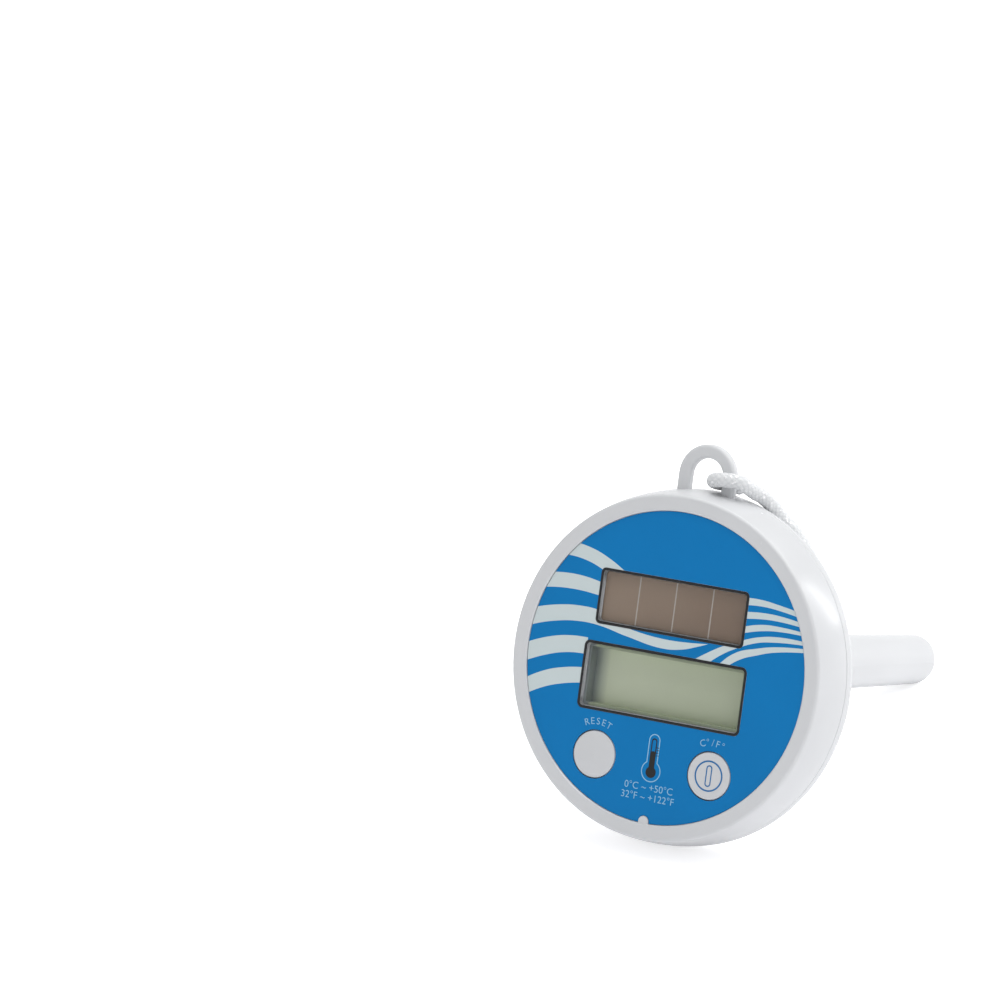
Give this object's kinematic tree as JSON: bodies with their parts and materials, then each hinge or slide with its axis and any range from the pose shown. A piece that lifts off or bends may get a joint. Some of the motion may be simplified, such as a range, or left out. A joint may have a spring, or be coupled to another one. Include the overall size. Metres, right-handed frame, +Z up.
{
  "type": "floating solar pool thermometer",
  "caption": "Round float head with a display, a solar window and push buttons, on a long hollow stem with a probe in its tip, with a tether cord on an eye.",
  "frame": {"origin": "centre of the bottom of the box round the thermometer without its cord, on the table that it lies on", "axes": "+Z up, +X to the right as seen from the front, +Y from the face towards the stem's tip; the stem points along +Y and 16.6 degrees down"},
  "size_m": [0.1341, 0.1861, 0.1184],
  "materials": {
    "shell": "glossy white ABS",
    "label": "printed blue film",
    "window": "clear polished plastic",
    "solar_cell": "dark brown amorphous silicon",
    "wire": "red insulation",
    "black_plastic": "satin black",
    "lcd": "grey green liquid crystal glass",
    "reflector": "pale reflective film",
    "rubber_dark": "soft black",
    "board": "green solder mask",
    "screw_steel": "bright zinc plated",
    "capacitor": "dark sleeve",
    "button": "glossy white ABS",
    "plunger": "red switch plunger",
    "rubber_grey": "soft grey",
    "ballast": "plain steel tube",
    "resin": "potting resin",
    "cord": "white braided cord with a slight glitter",
    "tie": "woven tie"
  },
  "bodies": {
    "housing": {"front_shell": "shell", "rear_shell": "shell", "stem_tube": "shell", "face_label": "label", "solar_window": "window", "display_window": "window", "solar_panel": "solar_cell", "solar_leads": "wire", "display_frame": "black_plastic", "display_glass": "lcd", "display_reflector": "reflector", "zebra_strips": "rubber_dark", "circuit_board": "board", "board_screws": "screw_steel", "controller_chip": "black_plastic", "storage_capacitor": "capacitor", "switch_bodies": "black_plastic", "button_seals": "rubber_grey", "body_seal": "rubber_dark", "shell_screws": "screw_steel", "stem_seal": "rubber_dark", "ballast_weight": "ballast", "temperature_probe": "black_plastic", "probe_potting": "resin", "probe_leads": "wire", "cord_hitch": "cord", "cord_run": "cord", "cord_coil": "cord", "coil_tie": "tie", "cord_end": "cord", "end_knot": "cord"},
    "reset_key": {"reset_button": "button", "reset_plunger": "plunger"},
    "unit_key": {"unit_button": "button", "unit_plunger": "plunger"}
  },
  "joints": [
    {"name": "reset_press", "type": "slide", "parent": "housing", "child": "reset_key", "axis": [0, 0.9583, -0.2859], "range_m": [0, 0.0008], "stiffness_N_per_m": 300},
    {"name": "unit_press", "type": "slide", "parent": "housing", "child": "unit_key", "axis": [0, 0.9583, -0.2859], "range_m": [0, 0.0008], "stiffness_N_per_m": 300}
  ]
}
